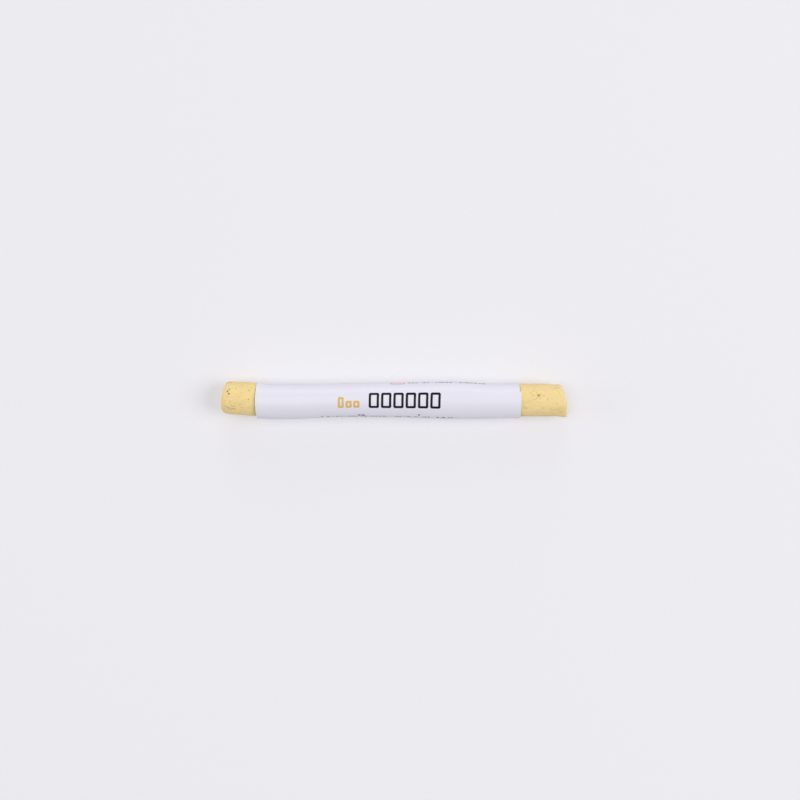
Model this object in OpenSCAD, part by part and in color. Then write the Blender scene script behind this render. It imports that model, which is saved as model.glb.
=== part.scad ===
// Chalk pastel stick in a loose paper label.
// The stick lies along X: worn tip at -X, snapped tip at +X. Z is up and z = 0 is the table.
// X is zero midway between the tips, and Y is zero midway between the sides of the whole part.

/* [Stick] */
// Length of the stick from tip to tip
stick_l = 90.8; // [80:0.2:110]
// Diameter of the worn tip
worn_d = 8.75; // [8:0.05:11]
// Diameter of the snapped tip
snapped_d = 8.55; // [8:0.05:11]
// Angle by which the worn tip bends towards +Y
tip_bend = 3.3; // [0:0.1:4]
// How far the middle of the hand-rolled stick bows towards +Y
bow = 0.3; // [0:0.02:0.6]
// How far the stick dips back towards -Y on each side of the bow
dip = 0.03; // [0:0.01:0.2]

/* [Worn tip] */
// Radius of the shallow dome that handling has left on the end
dome_r = 17.5; // [8:0.5:30]
// How far the top of the dome sits from the axis, towards -Y
dome_off = 1.9; // [0:0.1:2.5]
// Radius of the rubbed corner on the -Y side
rubbed_r = 1.5; // [1:0.1:3.5]
// Radius of the sharper corner on the +Y side
corner_r = 0.5; // [0.3:0.1:2]

/* [Snapped tip] */
// Angle at which the break falls away towards +Y
break_plan = 19; // [0:1:35]
// Angle at which the break falls away towards the top
break_rise = 14; // [0:1:30]
// How far from the axis the break turns square to the stick, towards -Y
break_turn = 0.5; // [0:0.1:3]
// Height of the crumbs that stand up on the break
crumb = 0.13; // [0:0.01:0.25]
// Distance from one coarse crumb to the next
crumb_l = 3.7; // [2:0.1:6]
// Depth of the crumbled edge of the break on the +Y side
edge_crumble = 0.6; // [0.1:0.05:1]
// Depth of that edge on the -Y side, where the break stayed sharp
sharp_edge = 0.1; // [0:0.05:0.5]

/* [Label] */
// Length of the paper along the stick
label_l = 68.5; // [50:0.5:72]
// Length of snapped tip left bare by the paper
bare_l = 12.8; // [6:0.1:18]
// Thickness of the paper
paper_t = 0.12; // [0.08:0.01:0.25]
// Gap between stick and paper where the paper is drawn tightest
slack = 0.16; // [0.15:0.01:0.4]
// How much further the paper stands off where it bellies out
belly = 0.35; // [0:0.01:0.6]
// Share of that gap by which the paper hangs over towards -Y
lean = 0.5; // [0:0.05:0.8]
// Gap over the top of the stick at the worn tip, where the paper is loose
loose_gap = 0.25; // [0.05:0.01:0.5]
// Gap over the top of the stick at the snapped tip, where the paper is snug
snug_gap = 0.06; // [0.05:0.01:0.5]
// Angle over which the outer edge of the sheet laps the inner one
lap = 60; // [20:5:120]
// Angle from the top of the stick to the free edge of the lap, towards +Y
seam = 27; // [-20:1:60]
// How much longer the sheet is cut along its outer edge
out_of_square = 0.4; // [0:0.05:0.8]
// How far the weight of the stick presses the underside of the paper flat
press = 0.1; // [0.04:0.01:0.15]

/* [Hidden] */
chalk_colour = "khaki";
paper_colour = "ghostwhite";

sides = 40; // facets round the hidden middle of the stick and round each tip face
turn_facets = 60; // facets in one full turn of the paper
stick_stations = 22;
paper_stations = 17;
face_rings = 9;
crumble_power = 9; // how closely the crumbled edge keeps to the rim
tip_facets = 96; // facets round each tip
bend_share = 0.09; // share of the hidden middle over which the worn tip bends away
crest_at = 0.6; // share of the hidden middle at which the bow is highest
dip_at = 0.92; // and at which it has run out
belly_at = 0.73; // share of the paper's length at which the paper is widest
belly_l = 0.85; // and from one widest place to the next
climb = 60; // angle over which the outer layer of the paper climbs on to the inner one
hair = 0.02; // running gap that keeps neighbouring surfaces apart
fin = 0.3; // how far a tip face is drawn past the stick before it is trimmed, and the middle into each tip

// Places along the stick
half_l = stick_l / 2;
paper_x1 = half_l - bare_l;
paper_x0 = paper_x1 - label_l;
past_paper = 0.2; // how far past each end of the paper the straight tip begins
bend_x = paper_x0 - past_paper;
straight_x = paper_x1 + past_paper;
middle_l = straight_x - bend_x;
bend_l = bend_share * middle_l;
dip0_x = bend_x + bend_l;
crest_x = bend_x + crest_at * middle_l;
dip1_x = bend_x + dip_at * middle_l;
snapped_l = half_l - straight_x;
worn_l = (half_l + bend_x - dome_off * sin(tip_bend)) / cos(tip_bend);
axis_z = paper_t + hair + max(worn_d, snapped_d) / 2;
paper_side = (worn_d + snapped_d) / 4 + paper_t + (1 + lean) * (slack + belly); // reach of the paper to -Y
tip_side = worn_d / 2 + tan(tip_bend) * (bend_l / 2 + worn_l); // reach of the worn tip to +Y
axis_y = (paper_side - tip_side) / 2; // Y of the snapped tip's axis

function mix(a, b, t) = a + (b - a) * t;
function ease(t) = (1 - cos(180 * max(0, min(1, t)))) / 2;
function span(x, a, b) = (x - a) / (b - a);

// Y of the stick's centreline at x: bent at the worn tip, bowed in the middle, straight at the snapped tip
function line_y(x) = axis_y + (
    x > straight_x ? 0 :
    x > dip1_x ? mix(-dip, 0, ease(span(x, dip1_x, straight_x))) :
    x > crest_x ? mix(bow, -dip, ease(span(x, crest_x, dip1_x))) :
    x > dip0_x ? mix(-dip, bow, ease(span(x, dip0_x, crest_x))) :
    x > bend_x ? -dip + tan(tip_bend) * pow(dip0_x - x, 2) / (2 * bend_l) :
    -dip + tan(tip_bend) * (bend_l / 2 + bend_x - x)
);

// Heading of that line at x, in degrees about Z
function heading(x) = atan((line_y(x + hair) - line_y(x - hair)) / (2 * hair));

function stick_r(x) = mix(worn_d, snapped_d, ease(span(x, bend_x, straight_x))) / 2;

// Gap at each side between the stick and a paper tube centred on it
function gap(x) = slack + belly * (1 + cos(360 * (span(x, paper_x0, paper_x1) - belly_at) / belly_l)) / 2;

// Gap over the top of the stick
function top_gap(x) = mix(loose_gap, snug_gap, ease(span(x, paper_x0, paper_x1)));

// A skin over rows of points, closed at its first and last row by the given triangles
module skin(rows, ends) {
    n = len(rows[0]);
    last = len(rows) - 1;
    polyhedron(
        points = [for (row = rows) each row],
        faces = [
            each ends,
            for (i = [0 : last - 1], j = [0 : n - 1])
                each let (a = i * n + j, b = i * n + (j + 1) % n)
                    [[b, a, a + n], [b, a + n, b + n]],
            for (f = ends) [f[2] + last * n, f[1] + last * n, f[0] + last * n]
        ]
    );
}

// Triangles that close a row running once round a bar
function bar_end(n) = [for (j = [1 : n - 2]) [0, j, j + 1]];

// Triangles that close a row running out along one face of a thin wall and back along the other
function wall_end(n) = [for (j = [0 : n / 2 - 2]) each [[j, j + 1, n - 2 - j], [j, n - 2 - j, n - 1 - j]]];

// Middle of the stick, which the paper hides; it runs a little way into each straight tip
module stick_middle() {
    rows = [
        for (i = [0 : stick_stations])
            let (
                x = mix(bend_x, straight_x, i / stick_stations),
                r = stick_r(x) - hair,
                a = i == 0 ? -tip_bend : i == stick_stations ? 0 : heading(x),
                into = i == 0 ? -fin : i == stick_stations ? fin : 0
            )
            [
                for (j = [0 : sides - 1])
                    let (c = r * cos(360 * j / sides), s = r * sin(360 * j / sides))
                    [x + into * cos(a) - c * sin(a), line_y(x) + into * sin(a) + c * cos(a), axis_z + s]
            ]
    ];
    skin(rows, bar_end(sides));
}

// Unevenness of broken chalk, from -1 to 1
function grain(y, z) =
    let (a = 360 * y / crumb_l, b = 360 * z / crumb_l)
    0.5 * sin(a + 0.42 * b) + 0.3 * sin(1.55 * b - 0.75 * a + 60) + 0.2 * sin(2.2 * a + 1.9 * b + 20);

// Depth of the worn end below its crown
function worn_depth(y, z, r) =
    let (
        rho = norm([y, z]),
        fillet = mix(corner_r, rubbed_r, rho > 0 ? (1 - y / rho) / 2 : 0.5),
        into = min(fillet, max(0, rho - (r - fillet)))
    )
    (pow(y + dome_off, 2) + z * z) / (2 * dome_r) + fillet - sqrt(fillet * fillet - into * into);

// Depth of the snapped end below its furthest point
function snapped_depth(y, z, r) =
    let (
        rho = norm([y, z]),
        edge = mix(sharp_edge, edge_crumble, rho > 0 ? (1 + y / rho) / 2 : 0.5)
    )
    tan(break_plan) * max(0, y + break_turn)
    + tan(break_rise) * max(0, z)
    + edge * pow(min(1, rho / r), crumble_power)
    + crumb * (1 + grain(y, z));

// A round bar from the origin along +X, ended by the face whose depth is given ring by ring
module tip(d, length, depth) {
    r = d / 2;
    face = [
        for (k = [1 : face_rings], j = [0 : sides - 1])
            let (
                rho = (r + fin) * sin(90 * k / face_rings),
                y = rho * cos(360 * j / sides),
                z = rho * sin(360 * j / sides)
            )
            [length - depth(y, z, r), y, z]
    ];
    back = [
        for (j = [0 : sides - 1])
            [-fin, (r + fin) * cos(360 * j / sides), (r + fin) * sin(360 * j / sides)]
    ];
    crown = [length - depth(0, 0, r), 0, 0];
    rim = 1 + (face_rings - 1) * sides;
    intersection() {
        rotate([0, 90, 0]) cylinder(d = d, h = length + fin, $fn = tip_facets);
        polyhedron(
            points = [crown, each face, each back],
            faces = [
                for (j = [0 : sides - 1]) [0, 1 + (j + 1) % sides, 1 + j],
                for (k = [0 : face_rings - 1], j = [0 : sides - 1])
                    each let (a = 1 + k * sides + j, b = 1 + k * sides + (j + 1) % sides)
                        [[a, b, b + sides], [a, b + sides, a + sides]],
                [for (j = [0 : sides - 1]) rim + sides + j]
            ]
        );
    }
}

module chalk_stick() {
    color(chalk_colour) {
        stick_middle();
        translate([straight_x, axis_y, axis_z])
            tip(snapped_d, snapped_l, function (y, z, r) snapped_depth(y, z, r));
        translate([bend_x, line_y(bend_x), axis_z])
            rotate(180 - tip_bend)
                tip(worn_d, worn_l, function (y, z, r) worn_depth(-y, z, r));
    }
}

// A point of the rolled sheet: t runs along the stick and turned is the angle wound so far
function sheet_point(t, turned, thick) =
    let (
        x = mix(paper_x0, paper_x1 + out_of_square * (turned / (360 + lap) - 0.5), t),
        out = thick + (paper_t + hair) * ease(1 + (turned - 360) / climb),
        top_z = axis_z + stick_r(x) + top_gap(x),
        half_w = stick_r(x) + gap(x),
        half_h = (top_z - paper_t + press) / 2,
        a = seam - lap + turned
    )
    [
        x,
        line_y(x) - lean * gap(x) + (half_w + out) * sin(a),
        max(paper_t - thick, top_z - half_h + (half_h + out) * cos(a))
    ];

module paper_label() {
    facets = round(turn_facets * (360 + lap) / 360);
    rows = [
        for (i = [0 : paper_stations])
            [
                for (j = [0 : facets]) sheet_point(i / paper_stations, j * (360 + lap) / facets, 0),
                for (j = [facets : -1 : 0]) sheet_point(i / paper_stations, j * (360 + lap) / facets, paper_t)
            ]
    ];
    color(paper_colour) skin(rows, wall_end(2 * (facets + 1)));
}

chalk_stick();
paper_label();
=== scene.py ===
import math
import random

import bmesh
import bpy
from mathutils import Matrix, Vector, noise
from mathutils.kdtree import KDTree


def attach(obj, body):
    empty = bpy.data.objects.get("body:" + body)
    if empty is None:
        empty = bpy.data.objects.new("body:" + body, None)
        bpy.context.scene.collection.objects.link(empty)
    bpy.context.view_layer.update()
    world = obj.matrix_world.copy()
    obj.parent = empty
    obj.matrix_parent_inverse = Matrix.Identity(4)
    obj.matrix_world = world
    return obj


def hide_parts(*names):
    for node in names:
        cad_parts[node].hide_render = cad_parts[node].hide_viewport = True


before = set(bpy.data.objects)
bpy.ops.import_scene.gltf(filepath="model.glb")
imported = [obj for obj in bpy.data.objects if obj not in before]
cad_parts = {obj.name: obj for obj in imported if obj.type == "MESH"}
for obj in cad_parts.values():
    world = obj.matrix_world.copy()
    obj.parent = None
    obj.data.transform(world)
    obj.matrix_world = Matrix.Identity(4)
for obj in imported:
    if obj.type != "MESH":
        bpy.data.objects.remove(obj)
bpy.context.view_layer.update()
mm = 0.001
scene = bpy.context.scene
multiply = {"operation": "MULTIPLY"}
colourMix = {"data_type": "RGBA"}


def linear(hexColour):
    parts = [int(hexColour[i:i + 2], 16) / 255 for i in (1, 3, 5)]
    return tuple(c / 12.92 if c <= 0.04045 else ((c + 0.055) / 1.055) ** 2.4 for c in parts) + (1,)


def mix(a, b, t):
    return a + (b - a) * t


def ease(t):
    return (1 - math.cos(math.pi * max(0, min(1, t)))) / 2


def span(x, a, b):  # how far x has come from a to b, as a share
    return (x - a) / (b - a)


def between(keys, x):  # an eased line through (x, value) pairs
    for (x0, v0), (x1, v1) in zip(keys, keys[1:]):
        if x < x1:
            return mix(v0, v1, ease(span(x, x0, x1)))
    return keys[-1][1]


def newMaterial(name):
    material = bpy.data.materials.new(name)
    material.use_nodes = True
    material.node_tree.nodes.clear()
    return material, material.node_tree


def addNode(tree, kind, settings, inputs):  # inputs take a value or the socket to link from
    node = tree.nodes.new("ShaderNode" + kind)
    for name, value in settings.items():
        setattr(node, name, value)
    for name, value in inputs.items():
        if isinstance(value, bpy.types.NodeSocket):
            tree.links.new(value, node.inputs[name])
        else:
            node.inputs[name].default_value = value
    return node


def finishPiece(bm, name, material, smooth):
    mesh = bpy.data.meshes.new(name)
    bm.to_mesh(mesh)
    bm.free()
    mesh.materials.clear()
    mesh.materials.append(material)
    mesh.polygons.foreach_set("use_smooth", [smooth] * len(mesh.polygons))
    piece = bpy.data.objects.new(name, mesh)
    scene.collection.objects.link(piece)
    return piece


line = {  # the stick's middle line, as the solids have it (mm)
    "bendX": -36.1,  # the worn tip is straight up to here
    "straightX": 32.8,  # the snapped tip is straight from here
    "wornRadius": 4.375,
    "snappedRadius": 4.275,
    "tipBend": 3.3,  # degrees
    "bend": 0.09,  # share of the line that the bend takes up
    "crest": 0.6,  # share of the line at which it bows furthest to the far side
    "dipAt": 0.92,  # and at which it is back
    "bow": 0.3,
    "dip": 0.03,
    "axisY": 0.063,
    "axisZ": 4.515,
}
line["length"] = line["straightX"] - line["bendX"]


def lineY(x):
    bend = line["bend"] * line["length"]
    bendEnd = line["bendX"] + bend
    crest = line["bendX"] + line["crest"] * line["length"]
    dip = line["bendX"] + line["dipAt"] * line["length"]
    low = line["axisY"] - line["dip"]
    high = line["axisY"] + line["bow"]
    if x > bendEnd:
        return between([(bendEnd, low), (crest, high), (dip, low), (line["straightX"], line["axisY"])], x)
    slope = math.tan(math.radians(line["tipBend"]))
    if x > line["bendX"]:
        return low + slope * (bendEnd - x) ** 2 / (2 * bend)
    return low + slope * (bend / 2 + line["bendX"] - x)


def stickRadius(x):
    return mix(line["wornRadius"], line["snappedRadius"], ease(span(x, line["bendX"], line["straightX"])))


view = {
    "place": (1.377, 0.045, 274.7),  # straight above the stick (mm)
    "lens": 46.3,
    "sensor": 36,
}
camera = bpy.data.objects.new("camera", bpy.data.cameras.new("camera"))
camera.data.lens = view["lens"]
camera.data.sensor_width = view["sensor"]
camera.location = Vector(view["place"]) * mm
scene.collection.objects.link(camera)
scene.camera = camera

studio = {
    "sky": 0.282,  # even light from the tent all round
    "skyColour": (1, 0.99, 1.03, 1),
    "boxSize": 1.0,  # m across each soft box
    "reach": 1.6,  # m from the stick to each soft box
    "boxes": [  # tilt from overhead and bearing from +X (degrees), then power (W)
        (45, 0, 12.9),
        (20, 180, 7.4),
        (72, 180, 5.2),
        (70, 90, 5.0),
    ],
    "floorColour": "#EEEDF1",
    "floorGlow": 0.35,  # share of the floor's look that shadows don't reach
    "floorSize": 3.0,  # m from its middle to its rim
    "floorSides": 96,
    "fade": (0.2, 0.8),  # m from the stick, over which the floor fades into the backdrop
}
scene.view_settings.view_transform = "Standard"
world = bpy.data.worlds.new("tent")
scene.world = world
world.use_nodes = True
tree = world.node_tree
tree.nodes.clear()
tentLight = addNode(tree, "Background", {}, {"Color": studio["skyColour"], "Strength": studio["sky"]})
tentSeen = addNode(tree, "Background", {}, {"Color": linear(studio["floorColour"]), "Strength": 1})
toCamera = addNode(tree, "LightPath", {}, {}).outputs["Is Camera Ray"]
tent = addNode(tree, "MixShader", {}, {0: toCamera, 1: tentLight.outputs[0], 2: tentSeen.outputs[0]})
addNode(tree, "OutputWorld", {}, {"Surface": tent.outputs[0]})

for i, (tilt, bearing, power) in enumerate(studio["boxes"]):
    lamp = bpy.data.objects.new(f"softBox{i + 1}", bpy.data.lights.new(f"softBox{i + 1}", "AREA"))
    lamp.data.shape = "DISK"
    lamp.data.size = studio["boxSize"]
    lamp.data.energy = power
    tilt, bearing = math.radians(tilt), math.radians(bearing)
    level = math.sin(tilt)
    direction = Vector((level * math.cos(bearing), level * math.sin(bearing), math.cos(tilt)))
    lamp.location = direction * studio["reach"]
    lamp.rotation_euler = direction.to_track_quat("Z", "Y").to_euler()
    scene.collection.objects.link(lamp)


# seamless backdrop paper: uncoated and rolled, so even and matt, with soft shadows
def paperSweep():
    material, tree = newMaterial("paperSweep")
    colour = linear(studio["floorColour"])
    lit = addNode(tree, "BsdfDiffuse", {}, {"Color": colour})
    glowing = addNode(tree, "Emission", {}, {"Color": colour, "Strength": 1})
    place = addNode(tree, "TexCoord", {}, {}).outputs["Object"]
    away = addNode(tree, "VectorMath", {"operation": "LENGTH"}, {0: place}).outputs["Value"]
    start, end = studio["fade"]
    glow = addNode(tree, "MapRange", {}, {"Value": away, 1: start, 2: end, 3: studio["floorGlow"], 4: 1})
    rays = addNode(tree, "LightPath", {}, {}).outputs
    seen = addNode(tree, "Math", {"operation": "ADD"}, {0: rays["Is Camera Ray"], 1: rays["Is Glossy Ray"]})
    share = addNode(tree, "Math", multiply, {0: seen.outputs[0], 1: glow.outputs[0]})
    both = addNode(tree, "MixShader", {}, {0: share.outputs[0], 1: lit.outputs[0], 2: glowing.outputs[0]})
    addNode(tree, "OutputMaterial", {}, {"Surface": both.outputs[0]})
    return material


bm = bmesh.new()
bmesh.ops.create_circle(bm, cap_ends=True, segments=studio["floorSides"], radius=studio["floorSize"])
floor = finishPiece(bm, "floor", paperSweep(), False)
print("stage: camera, tent, soft boxes and floor")

chalk = {
    "colour": "#F4DB9C",
    "warmPatch": "#F3D19B",
    "yellowPatch": "#F3DB8F",
    "freshColour": "#F3DD99",  # inside of the stick, where it broke
    # painted shade in the pits, cracks and pinholes, and the painted shadow by the paper's edges
    "pitShadeColour": "#754A26",
    "fleckTints": ((1, 1, 0.86, 1), (1, 1, 1.14, 1)),  # between flecks of whiting, and in them
    "scuffTints": ((0.96, 0.92, 0.8, 1), (1.04, 1.08, 1.2, 1)),
    "dustyTint": (1, 1, 0.99, 1),  # at the worn tip's end
    "deepTint": (1, 1, 0.93, 1),  # and by the paper
    "plain": (1, 1, 1, 1),
    "scuffsFrom": (20, 30),  # X over which the scuffs come in (mm)
    "dustyTo": (-44, -38),  # X over which the dusty tint gives way to the deep one
    "deepTo": (-30, -20),  # and that to none, under the paper
    "patchSize": 1.6,  # mm, as are the next five
    "fleckSize": 0.5,
    "grainSize": 0.35,  # real grains are too fine to show, so they are drawn this coarse
    "grainDepth": 0.06,
    "scuffLong": 6.667,
    "scuffApart": 0.769,
    "bloom": 0.12,  # loose powder that catches the light round the limb
    "paperEnds": (-35.9, 32.6),  # X of the paper's edges (mm)
    "hidden": 1.6,  # mm of fine surface that runs on under the paper
    "settle": (0.2, 0.4),  # roughness starts this far from its inner end, full this far inside the edge
    "trim": 0.3,  # mm taken off its inner end, to open it
    "rimReach": 0.6,  # mm from a cut, in which its rims are bridged
    # under the paper the stick hangs this much nearer than the solid, and is thinner by this share
    "sag": [(-35.9, 0), (-33.5, 0.26), (-22, 0.26), (9, 0), (22, 0), (27, 0.04), (30, 0.04), (32.6, 0)],
    "slim": [(-35.9, 0), (-31, 0.03), (28, 0.03), (32.6, 0)],
    "voxel": 0.12,
    "seed": 7,
    # pits and cracks seen from above: x, y, radius, depth (mm), darkness, which is painted shade in the
    # hollow
    "pits": [
        (-42.88, 1.68, 0.29, 0.36, 1.0), (-43.24, 2.28, 0.29, 0.36, 1.0), (-42.90, 2.84, 0.25, 0.28, 0.8),
        (-43.20, 0.95, 0.22, 0.12, 0.4), (-42.70, -0.32, 0.24, 0.10, 0.35), (-41.11, 3.02, 0.24, 0.12, 0.3),
        (-37.77, 2.54, 0.28, 0.10, 0.42), (-37.72, 0.20, 0.26, 0.12, 0.42), (-39.66, -1.85, 0.24, 0.14, 0.45),
        (-40.00, -1.20, 0.28, 0.10, 0.3), (-37.76, -2.13, 0.24, 0.10, 0.32), (-40.33, 0.95, 0.22, 0.06, 0.22),
        (-39.90, 4.05, 0.22, 0.06, 0.22), (-42.66, -2.15, 0.20, 0.08, 0.3), (-42.14, -1.63, 0.22, 0.10, 0.35),
        (37.26, 1.23, 0.31, 0.48, 1.0), (37.10, 1.20, 0.20, 0.25, 0.7), (35.12, 1.99, 0.24, 0.10, 0.3),
        (35.90, 1.28, 0.26, 0.08, 0.25), (38.51, -2.13, 0.22, 0.16, 0.4), (34.05, -2.15, 0.22, 0.12, 0.35),
        (40.60, -2.40, 0.22, 0.08, 0.2), (41.98, -0.94, 0.30, 0.08, 0.18), (39.50, 0.16, 0.26, 0.08, 0.25),
        (38.30, -3.23, 0.26, 0.10, 0.25), (38.45, 1.20, 0.20, 0.08, 0.25), (42.60, 3.10, 0.24, 0.08, 0.25),
    ],
    "cracks": [  # points along each, then radius, depth, darkness (painted shade)
        ([(-44.01, -1.64), (-43.07, -1.85), (-42.21, -2.26)], 0.14, 0.10, 0.42),
        ([(-42.21, -2.26), (-41.31, -2.39)], 0.16, 0.14, 0.6),
        ([(-43.35, -2.03), (-42.87, -2.34), (-42.38, -2.55)], 0.14, 0.09, 0.42),
        ([(-42.39, -1.56), (-41.87, -1.59), (-41.37, -1.77)], 0.14, 0.08, 0.4),
        ([(-43.87, 4.58), (-43.31, 4.72), (-42.68, 4.72)], 0.24, 0.06, 0.45),
        ([(37.12, 1.03), (36.72, 0.43), (35.99, 0.10)], 0.12, 0.10, 0.28),
        ([(37.38, 0.95), (37.57, 0.30)], 0.11, 0.08, 0.3),
        ([(37.60, 1.39), (38.50, 1.23), (38.88, 1.08)], 0.11, 0.08, 0.28),
        ([(37.48, 1.55), (38.02, 1.99)], 0.10, 0.08, 0.3),
        ([(37.03, 1.44), (36.60, 1.99)], 0.10, 0.07, 0.22),
        ([(33.25, -2.11), (34.41, -2.08)], 0.14, 0.08, 0.3),
        ([(34.47, -0.01), (36.41, 0.15)], 0.12, 0.06, 0.2),
        ([(32.95, -0.68), (34.99, -0.60)], 0.12, 0.05, 0.2),
        ([(41.11, 3.01), (43.25, 3.37)], 0.12, 0.06, 0.2),
        ([(40.78, 2.43), (42.86, 2.53)], 0.11, 0.05, 0.15),
        ([(39.99, -2.16), (41.06, -2.55), (42.15, -2.94), (43.26, -3.34)], 0.14, 0.08, 0.16),
        ([(41.81, -2.29), (42.91, -2.81), (44.02, -3.23)], 0.13, 0.08, 0.2),
        ([(32.50, 4.15), (32.52, 3.30), (32.56, 2.35)], 0.13, 0.10, 0.5),  # these two are not cracks but painted shadow of the paper's edges on the chalk, with a shallow dent
        ([(-36.02, 3.20), (-36.04, 0.40), (-36.06, -2.60)], 0.13, 0.05, 0.3),
    ],
    "crackStep": 0.07,
    "crackWander": (0.12, 1.9),  # mm to each side, and turns per mm
    "pitReach": 1.5,  # radii
    "pitFall": 0.75,
    "pinholes": 240,  # on each tip
    "pinholeRadius": (0.12, 0.24),
    "pinholeDepth": (0.03, 0.12),
    # painted shade in each pinhole
    "pinholeDark": (0.05, 0.22),
    "swells": [  # X, Y, reach and lift of the broad dents and lumps that shape the tips
        (-44.7, 4.1, 0.6, 0.10), (-44.9, 2.9, 0.7, -0.12), (-45.3, 0.8, 0.6, 0.05),
        (-43.3, 4.7, 0.7, -0.07), (-43.7, -3.8, 0.6, -0.07),
        (43.7, 4.1, 0.45, 0.10), (45.0, 0.1, 0.7, -0.13), (45.2, -1.7, 0.6, 0.07), (45.3, -4.0, 0.6, -0.10),
    ],
    # lift (mm), then its share along X, and its share across the stick from -1, near, to 1, far
    "rubs": [
        (-0.22, [(38.6, 0), (42, 1), (42.5, 1), (43.4, 0)], [(0.6, 0), (1, 1)]),
        (-0.08, [(-40, 1), (-38, 0)], [(-0.9, 1), (-0.5, 0)]),
    ],
    "burr": (0.22, [(42, 0), (44.6, 1)], [(-1, 1), (-0.8, 0)]),
    "lumps": [(1.7, 0.021), (0.7, 0.014), (0.33, 0.014)],  # size and lift (mm)
    "scrape": (0.2, 2.1, 0.02),  # streaks per mm along and across, and their lift
    "breakX": (41.5, 42.5),  # the broken face begins here
    "breakTurn": (0.35, 0.75),  # and where the surface turns to face along X
    "breakLumps": [(0.9, 0.11, 9), (0.42, 0.06, 0)],  # size, lift and place in the noise
}


# drawing chalk: pigment and whiting rolled damp and dried, so dead matte, mottled and pitted
def pressedChalk():
    material, tree = newMaterial("pressedChalk")
    place = addNode(tree, "TexCoord", {}, {}).outputs["Object"]
    patches, flecks, grain = (
        addNode(tree, "TexNoise", {}, {
            "Vector": place, "Scale": 1 / (size * mm), "Detail": detail}).outputs[0]
        for size, detail in ((chalk["patchSize"], 3), (chalk["fleckSize"], 1), (chalk["grainSize"], 2)))
    warm = addNode(tree, "MapRange", {}, {"Value": patches, 1: 0.42, 2: 0.66, 3: 0, 4: 0.5})
    body = addNode(tree, "Mix", colourMix, {
        0: warm.outputs[0], 6: linear(chalk["colour"]), 7: linear(chalk["warmPatch"])})
    yellow = addNode(tree, "MapRange", {}, {"Value": patches, 1: 0.5, 2: 0.32, 3: 0, 4: 0.5})
    body = addNode(tree, "Mix", colourMix, {
        0: yellow.outputs[0], 6: body.outputs[2], 7: linear(chalk["yellowPatch"])})
    fresh = addNode(tree, "Attribute", {"attribute_name": "fresh"}, {})
    body = addNode(tree, "Mix", colourMix, {
        0: fresh.outputs["Fac"], 6: body.outputs[2], 7: linear(chalk["freshColour"])})
    # flecks of whiting all over
    low, high = chalk["fleckTints"]
    tint = addNode(tree, "Mix", colourMix, {0: flecks, 6: low, 7: high})
    body = addNode(tree, "VectorMath", multiply, {0: body.outputs[2], 1: tint.outputs[2]})
    # scuffs that run lengthwise on the snapped tip
    perLength, perWidth = 1 / (chalk["scuffLong"] * mm), 1 / (chalk["scuffApart"] * mm)
    along = addNode(tree, "VectorMath", multiply, {0: place, 1: (perLength, perWidth, perWidth)})
    scuffs = addNode(tree, "TexNoise", {}, {"Vector": along.outputs[0], "Scale": 1, "Detail": 1})
    low, high = chalk["scuffTints"]
    tint = addNode(tree, "Mix", colourMix, {0: scuffs.outputs[0], 6: low, 7: high})
    x = addNode(tree, "SeparateXYZ", {}, {0: place}).outputs[0]
    start, end = chalk["scuffsFrom"]
    snapped = addNode(tree, "MapRange", {}, {"Value": x, 1: start * mm, 2: end * mm})
    tint = addNode(tree, "Mix", colourMix, {0: snapped.outputs[0], 6: chalk["plain"], 7: tint.outputs[2]})
    body = addNode(tree, "VectorMath", multiply, {0: body.outputs[0], 1: tint.outputs[2]})
    # the worn tip is dusty at its end and deeper in colour by the paper
    start, end = chalk["dustyTo"]
    dusty = addNode(tree, "MapRange", {}, {"Value": x, 1: start * mm, 2: end * mm})
    tint = addNode(tree, "Mix", colourMix, {0: dusty.outputs[0], 6: chalk["dustyTint"], 7: chalk["deepTint"]})
    start, end = chalk["deepTo"]
    deep = addNode(tree, "MapRange", {}, {"Value": x, 1: start * mm, 2: end * mm})
    tint = addNode(tree, "Mix", colourMix, {0: deep.outputs[0], 6: tint.outputs[2], 7: chalk["plain"]})
    body = addNode(tree, "VectorMath", multiply, {0: body.outputs[0], 1: tint.outputs[2]})
    # each grain has its own brightness, and the pits and cracks are darkened with painted shade
    bright = addNode(tree, "MapRange", {}, {"Value": grain, 1: 0.3, 2: 0.7, 3: 0.95, 4: 1.04}).outputs[0]
    body = addNode(tree, "VectorMath", {"operation": "SCALE"}, {0: body.outputs[0], "Scale": bright})
    pitShade = addNode(tree, "Attribute", {"attribute_name": "pitShade"}, {})
    body = addNode(tree, "Mix", colourMix, {
        0: pitShade.outputs["Fac"], 6: body.outputs[0], 7: linear(chalk["pitShadeColour"])})
    bump = addNode(tree, "Bump", {}, {"Height": grain, "Distance": chalk["grainDepth"] * mm, "Strength": 0.5})
    shader = addNode(tree, "BsdfPrincipled", {}, {
        "Base Color": body.outputs[2], "Normal": bump.outputs[0], "Roughness": 0.95,
        "Specular IOR Level": 0.2, "Sheen Weight": chalk["bloom"], "Sheen Roughness": 0.5})
    addNode(tree, "OutputMaterial", {}, {"Surface": shader.outputs[0]})
    return material


def cadCopy(node):  # the solid's own mesh, its loose triangles joined up
    bm = bmesh.new()
    bm.from_mesh(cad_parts[node].data)
    bmesh.ops.remove_doubles(bm, verts=bm.verts, dist=0.002 * mm)
    return bm


def cutAt(bm, x, keepRight, close):
    side = 1 if keepRight else -1
    cut = bmesh.ops.bisect_plane(
        bm, geom=bm.verts[:] + bm.edges[:] + bm.faces[:], dist=1e-7,
        plane_co=(x * mm, 0, 0), plane_no=(side, 0, 0), clear_inner=True)
    if close:
        edges = [e for e in cut["geom_cut"] if isinstance(e, bmesh.types.BMEdge)]
        bmesh.ops.holes_fill(bm, edges=edges, sides=0)


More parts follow.
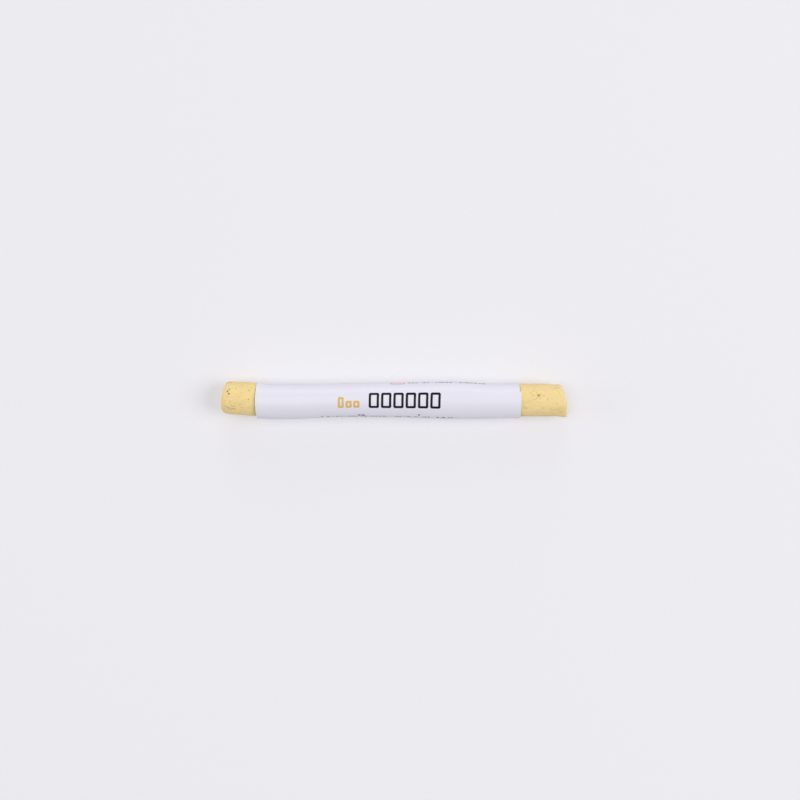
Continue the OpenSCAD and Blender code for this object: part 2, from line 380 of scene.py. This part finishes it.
def remeshed(bm, name):  # even small faces, fine enough to carry the pits
    mesh = bpy.data.meshes.new(name)
    bm.to_mesh(mesh)
    bm.free()
    rough = bpy.data.objects.new(name, mesh)
    scene.collection.objects.link(rough)
    remesh = rough.modifiers.new("remesh", "REMESH")
    remesh.mode = "VOXEL"
    remesh.voxel_size = chalk["voxel"] * mm
    bpy.context.view_layer.update()
    fine = bpy.data.meshes.new_from_object(rough.evaluated_get(bpy.context.evaluated_depsgraph_get()))
    bpy.data.objects.remove(rough)
    bm = bmesh.new()
    bm.from_mesh(fine)
    bpy.data.meshes.remove(fine)
    return bm


def marks():  # every pit, and the dots that a crack is drawn with
    found = [(Vector((x, y)), radius, depth, dark) for x, y, radius, depth, dark in chalk["pits"]]
    side, turns = chalk["crackWander"]
    for points, radius, depth, dark in chalk["cracks"]:
        for a, b in zip(points, points[1:]):
            a, b = Vector(a), Vector(b)
            steps = max(2, round((b - a).length / chalk["crackStep"]))
            for i in range(steps + 1):
                place = a.lerp(b, i / steps)
                wander = side * noise.noise(Vector((place.x * turns, place.y * turns, 3)))
                found.append((place + Vector((0, wander)), radius, depth, dark))
    return found


def liftAt(p, across, broken):  # how far the rough surface stands out from the solid's (mm)
    lift = sum(amount * noise.noise(p / size) for size, amount in chalk["lumps"])
    along, apart, amount = chalk["scrape"]
    lift += amount * noise.noise(Vector((p.x * along, p.y * apart, p.z * apart)))
    # rubbed on the far side of the snapped tip and on the near side of the worn one
    for amount, alongX, overY in chalk["rubs"]:
        lift += amount * between(alongX, p.x) * between(overY, across)
    # the break's near side stands up in a burr
    amount, alongX, overY = chalk["burr"]
    lift += amount * between(alongX, p.x) * between(overY, across) * (1 - broken)
    for x, y, reach, amount in chalk["swells"]:
        lift += amount * math.exp(-((p.x - x) ** 2 + (p.y - y) ** 2) / reach ** 2)
    for size, amount, shift in chalk["breakLumps"]:
        lift += broken * amount * noise.noise(p / size + Vector((shift, 0, 0)))
    return lift


def roughen(bm, end, paperEdge):
    random.seed(chalk["seed"] + end)
    tree = KDTree(len(bm.verts))
    for i, v in enumerate(bm.verts):
        tree.insert(v.co, i)
    tree.balance()
    bm.verts.ensure_lookup_table()
    sink = [0.0] * len(bm.verts)
    dark = [0.0] * len(bm.verts)

    # sinks the surface into a hollow, and paints shade into it
    def press(centre, radius, depth, darkness):
        for co, i, distance in tree.find_range(centre, radius * mm * chalk["pitReach"]):
            fall = math.exp(-(distance / (radius * mm * chalk["pitFall"])) ** 2)
            sink[i] = max(sink[i], depth * fall)
            dark[i] = max(dark[i], darkness * fall)

    for place, radius, depth, darkness in marks():
        if (place.x > 0) != (end > 0):
            continue
        r = stickRadius(place.x)
        z = line["axisZ"] + math.sqrt(r * r - (place.y - lineY(place.x)) ** 2)
        press(tree.find(Vector((place.x, place.y, z)) * mm)[0], radius, depth, darkness)
    for k in range(chalk["pinholes"]):
        v = bm.verts[random.randrange(len(bm.verts))]
        size = random.random() ** 3  # most of them small
        radius, depth, darkness = (
            mix(*chalk[name], size) for name in ("pinholeRadius", "pinholeDepth", "pinholeDark"))
        press(v.co.copy(), radius, depth, darkness)

    fresh = bm.verts.layers.float.new("fresh")
    pitShade = bm.verts.layers.float.new("pitShade")
    bm.normal_update()
    inner, outer = chalk["settle"]
    for i, v in enumerate(bm.verts):
        p = v.co / mm
        free = ease(span(end * (p.x - paperEdge), inner - chalk["hidden"], -outer))
        broken = 0.0
        if end > 0:  # how far this point is on the break rather than on the side
            broken = ease(span(v.normal.x, *chalk["breakTurn"])) * ease(span(p.x, *chalk["breakX"]))
        across = (p.y - line["axisY"]) / line["snappedRadius"]
        v.co += v.normal * (liftAt(p, across, broken) - sink[i]) * free * mm
        v[fresh] = broken
        v[pitShade] = dark[i]


def chalkStick():
    cuts = []
    tips = []
    for end, paperEdge in zip((-1, 1), chalk["paperEnds"]):
        cut = paperEdge - end * chalk["hidden"]
        bm = cadCopy("chalk_stick")
        cutAt(bm, cut, end > 0, True)
        bm = remeshed(bm, "tip")
        cutAt(bm, cut + end * chalk["trim"], end > 0, False)
        roughen(bm, end, paperEdge)
        tip = bpy.data.meshes.new("tip")
        bm.to_mesh(tip)
        bm.free()
        cuts.append(cut)
        tips.append(tip)
    bm = cadCopy("chalk_stick")  # the middle, as the solid has it
    cutAt(bm, cuts[0], True, False)
    cutAt(bm, cuts[1], False, False)
    for tip in tips:
        bm.from_mesh(tip)
        bpy.data.meshes.remove(tip)
    for v in bm.verts:
        x = v.co.x / mm
        axis = Vector((v.co.x, lineY(x) * mm, line["axisZ"] * mm))
        v.co = v.co.lerp(axis, between(chalk["slim"], x)) - Vector((0, between(chalk["sag"], x) * mm, 0))
    rims = [e for e in bm.edges if e.is_boundary]
    for cut in cuts:
        near = [e for e in rims if abs(e.verts[0].co.x / mm - cut) < chalk["rimReach"]]
        bmesh.ops.bridge_loops(bm, edges=near)
    bmesh.ops.recalc_face_normals(bm, faces=bm.faces)
    print("chalk:", len(bm.faces), "faces,", sum(e.is_boundary for e in bm.edges), "open edges")
    return finishPiece(bm, "chalkStick", pressedChalk(), True)


stick = chalkStick()
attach(stick, "root")
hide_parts("chalk_stick")
print("chalk: stick done")

label = {
    "colour": "#E7E6F1",
    "inks": {
        "dark": "#10051E",
        "amber": "#E0B55A",
        "red": "#D59C9C",
        "pink": "#EED6D8",
        "faint": "#9D9AA6",
        "grey": "#77737F",
    },
    "x0": -35.96,
    "x1": 32.6,
    "flat": (68.5, 34.3),  # mm, the sheet before it is rolled
    "thickness": 0.12,
    "slack": 0.16,  # mm between paper and chalk on both sides
    "belly": 0.35,  # looser still by this, where it is loosest
    "bellyAt": 0.73,  # shares of its length
    "bellyLong": 0.85,
    "lean": 0.5,  # share of the gap by which the paper hangs nearer than the stick
    "looseGap": 0.25,  # mm over the stick at the left mouth
    "snugGap": 0.06,  # and at the right one
    "press": 0.1,  # mm that the bottom is flattened
    "seam": 27,  # degrees from the top to the free edge
    "lap": 60,
    "climb": 60,  # degrees in which the sheet rises over its own first edge
    "hair": 0.02,  # mm between the two turns
    "outOfSquare": 0.4,
    "leftOut": [(345, 0), (375, 0.05)],  # mm that the lap's corners stand out, by degrees wound
    "rightOut": [(390, 0), (415, 0.1)],
    # mm that the far and near sides are pulled in from the solid's outline, by X
    "farTrim": [
        (-36, 0.22), (-34.6, 0.46), (-26, 0.41), (-18, 0.34), (3, 0.32), (17, 0.02), (27, 0.29), (33, 0.13)],
    "nearTrim": [
        (-36, 0.12), (-28, -0.03), (-24, -0.06), (-18, 0.06), (0, 0.08), (7, 0.1), (12, 0.02), (20, 0.14),
        (28, 0.13), (33, 0)],
    "ripple": 0.025,
    "rippleLong": 7,  # mm
    "rippleRound": 1.6,
    "rippleFade": 0.6,  # none where the paper lies on the table
    "crease": 40,  # degrees, from which an edge looks sharp
    "alongFaces": 140,
    "aroundFaces": 112,
    "gloss": 0.5,
    "inkGloss": 0.3,  # the dark ink dries duller than the coating
    "fibreSize": 0.625,  # mm: real fibres are too fine to show, so they are drawn this coarse
    "fibreDepth": 0.01,
    # the print, in mm on the flat sheet, with x as the stick's X and y from one of these three lines
    "topLine": 393,  # degrees wound, at the top of the stick
    "farLine": 103,  # at the far side's small print
    "nearLine": 325,  # and at the near side's
    "inkEdge": 0.035,  # over which an ink's edge fades
    "swatches": [(-13.95, -0.6, 1.5, 2.9), (-11.95, -1.1, 1.6, 1.9), (-9.95, -1.1, 1.6, 1.9)],
    "swatchCorner": 0.35,
    "swatchStroke": 0.55,
    "boxes": 6,
    "boxFirst": (-5.46, -0.12),
    "boxPitch": 3.17,
    "boxSize": (2.66, 4.1),
    "boxCorner": 0.5,
    "boxStroke": 0.62,
    "leastCorner": 0.06,  # of the opening in an outline
    "patch": [(0.77, 0.35, 4.0, 2.0, 0.9, "red"), (0.77, 0.55, 3.7, 1.8, 0.8, "pink")],
    "farPrint": [(3.4, 23.8, 0.3, 0.7, 0.8, "grey")],  # from, to, y, height, pitch, ink
    "nearPrint": [(-19.3, 8.6, 0, 0.6, 1.3, "faint"), (8.6, 16.4, 0, 0.7, 1.3, "grey")],
    "strokesPerPitch": 1.6,
    "wordSize": 2.857,
    "printCorner": 0.1,
    "dots": [(-9.3, 0.75, 0.7), (-8.3, 0.75, 0.9), (6.2, 1.1, 0.45)],
    "dotHeight": 0.7,
    "dotCorner": 0.15,
}
label["turn"] = 360 + label["lap"]


# inner face of the rolled sheet: the solid's, with its sides trimmed and the lap's corners out
def sheetPoint(t, turned):
    left = label["x0"] - between(label["leftOut"], turned)
    right = label["x1"] + label["outOfSquare"] * (turned / label["turn"] - 0.5)
    x = mix(left, right + between(label["rightOut"], turned), t)
    share = span(x, label["x0"], label["x1"])
    wave = math.cos(2 * math.pi * (share - label["bellyAt"]) / label["bellyLong"])
    gap = label["slack"] + label["belly"] * (1 + wave) / 2
    topZ = line["axisZ"] + stickRadius(x) + mix(label["looseGap"], label["snugGap"], ease(share))
    halfWide = stickRadius(x) + gap
    halfHigh = (topZ - label["thickness"] + label["press"]) / 2
    a = math.radians(label["seam"] - label["lap"] + turned)
    around = label["rippleRound"]
    ripple = noise.noise(Vector((x / label["rippleLong"], around * math.sin(a), around * math.cos(a))))
    ripple *= label["ripple"] * ease((1 + math.cos(a)) / label["rippleFade"])
    out = (label["thickness"] + label["hair"]) * ease(span(turned, 360 - label["climb"], 360)) + ripple
    far, near = between(label["farTrim"], x), between(label["nearTrim"], x)
    middle = lineY(x) - label["lean"] * gap - (far - near) / 2
    y = middle + (halfWide + out - (far + near) / 2) * math.sin(a)
    z = topZ - halfHigh + (halfHigh + out) * math.cos(a)
    return Vector((x, y, max(label["thickness"], z))) * mm


def paperLabel():
    bm = bmesh.new()
    uv = bm.loops.layers.uv.new("flat")
    bmesh.ops.create_grid(bm, x_segments=label["alongFaces"], y_segments=label["aroundFaces"], size=0.5)
    for face in bm.faces:
        for loop in face.loops:
            loop[uv].uv = (loop.vert.co.x + 0.5, loop.vert.co.y + 0.5)
    for v in bm.verts:
        v.co = sheetPoint(v.co.x + 0.5, (v.co.y + 0.5) * label["turn"])
    bmesh.ops.recalc_face_normals(bm, faces=bm.faces)
    bmesh.ops.solidify(bm, geom=bm.faces[:], thickness=-label["thickness"] * mm)
    for edge in bm.edges:
        edge.smooth = edge.calc_face_angle(0) < math.radians(label["crease"])
    print("label:", len(bm.faces), "faces,", sum(e.is_boundary for e in bm.edges), "open edges")
    return finishPiece(bm, "paperLabel", clayCoatedPaper(), True)


def flatY(angle):  # mm across the flat sheet
    return angle / label["turn"] * label["flat"][1]


def block(tree, place, centre, size, corner):  # 1 inside a rectangle with round corners
    half = (size[0] / 2 - corner, size[1] / 2 - corner, 0)
    off = addNode(tree, "VectorMath", {"operation": "SUBTRACT"}, {0: place, 1: (centre[0], centre[1], 0)})
    off = addNode(tree, "VectorMath", {"operation": "ABSOLUTE"}, {0: off.outputs[0]})
    off = addNode(tree, "VectorMath", {"operation": "SUBTRACT"}, {0: off.outputs[0], 1: half})
    off = addNode(tree, "VectorMath", {"operation": "MAXIMUM"}, {0: off.outputs[0], 1: (0, 0, 0)})
    away = addNode(tree, "VectorMath", {"operation": "LENGTH"}, {0: off.outputs[0]}).outputs["Value"]
    edge = label["inkEdge"]
    return addNode(tree, "MapRange", {}, {"Value": away, 1: corner + edge, 2: corner - edge}).outputs[0]


def outlined(tree, place, centre, size, corner, stroke):
    outer = block(tree, place, centre, size, corner)
    opening = (size[0] - 2 * stroke, size[1] - 2 * stroke)
    inner = block(tree, place, centre, opening, max(label["leastCorner"], corner - stroke))
    ring = addNode(tree, "Math", {"operation": "SUBTRACT", "use_clamp": True}, {0: outer, 1: inner})
    return ring.outputs[0]


def smallPrint(tree, place, x0, x1, y, tall, pitch):  # a broken line, as small type looks from here
    along = addNode(tree, "SeparateXYZ", {}, {0: place}).outputs[0]
    strokes, words = (
        addNode(tree, "TexNoise", {"noise_dimensions": "1D"}, {"W": along, "Scale": scale, "Detail": detail})
        for scale, detail in ((label["strokesPerPitch"] / pitch, 1), (1 / label["wordSize"], 0)))
    strokes = addNode(tree, "MapRange", {}, {"Value": strokes.outputs[0], 1: 0.45, 2: 0.52, 3: 0.15, 4: 1})
    words = addNode(tree, "MapRange", {}, {"Value": words.outputs[0], 1: 0.36, 2: 0.4, 3: 0.1, 4: 1})
    broken = addNode(tree, "Math", multiply, {0: strokes.outputs[0], 1: words.outputs[0]})
    bar = block(tree, place, ((x0 + x1) / 2, y), (x1 - x0, tall), label["printCorner"])
    return addNode(tree, "Math", multiply, {0: bar, 1: broken.outputs[0]}).outputs[0]


# clay-coated printing paper: calendered smooth and bluish white, with a soft low gloss
def clayCoatedPaper():
    material, tree = newMaterial("clayCoatedPaper")
    flat = addNode(tree, "UVMap", {"uv_map": "flat"}, {}).outputs[0]
    place = addNode(tree, "VectorMath", {"operation": "MULTIPLY_ADD"}, {
        0: flat, 1: (label["flat"][0], label["flat"][1], 0), 2: (label["x0"], 0, 0)}).outputs[0]
    top, far, near = flatY(label["topLine"]), flatY(label["farLine"]), flatY(label["nearLine"])
    prints = []  # each printed shape and its ink

    # amber outlined swatches and a row of outlined boxes in dark ink
    for x, y, wide, tall in label["swatches"]:
        ring = outlined(
            tree, place, (x, top + y), (wide, tall), label["swatchCorner"], label["swatchStroke"])
        prints.append((ring, "amber"))
    boxes = 0
    for i in range(label["boxes"]):
        centre = (label["boxFirst"][0] + label["boxPitch"] * i, top + label["boxFirst"][1])
        ring = outlined(tree, place, centre, label["boxSize"], label["boxCorner"], label["boxStroke"])
        boxes = addNode(tree, "Math", {"operation": "MAXIMUM"}, {0: boxes, 1: ring}).outputs[0]
    prints.append((boxes, "dark"))
    # a pink patch on the far side, and small print on both sides
    for x, y, wide, tall, corner, ink in label["patch"]:
        prints.append((block(tree, place, (x, far + y), (wide, tall), corner), ink))
    for side, rows in ((far, label["farPrint"]), (near, label["nearPrint"])):
        for x0, x1, y, tall, pitch, ink in rows:
            prints.append((smallPrint(tree, place, x0, x1, side + y, tall, pitch), ink))
    for x, y, wide in label["dots"]:
        dot = block(tree, place, (x, near + y), (wide, label["dotHeight"]), label["dotCorner"])
        prints.append((dot, "grey"))

    colour = linear(label["colour"])
    for shape, ink in prints:
        colour = addNode(tree, "Mix", colourMix, {
            0: shape, 6: colour, 7: linear(label["inks"][ink])}).outputs[2]
    fibres = addNode(tree, "TexNoise", {}, {"Vector": place, "Scale": 1 / label["fibreSize"], "Detail": 4})
    bump = addNode(tree, "Bump", {}, {
        "Height": fibres.outputs[0], "Distance": label["fibreDepth"] * mm, "Strength": 0.4})
    gloss = addNode(tree, "MapRange", {}, {"Value": boxes, 3: label["gloss"], 4: label["inkGloss"]})
    shader = addNode(tree, "BsdfPrincipled", {}, {
        "Base Color": colour, "Normal": bump.outputs[0], "Roughness": 0.4, "IOR": 1.5,
        "Specular IOR Level": gloss.outputs[0]})
    addNode(tree, "OutputMaterial", {}, {"Surface": shader.outputs[0]})
    return material


sheet = paperLabel()
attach(sheet, "root")
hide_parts("paper_label")
print("label: sheet rolled")

bpy.context.view_layer.update()
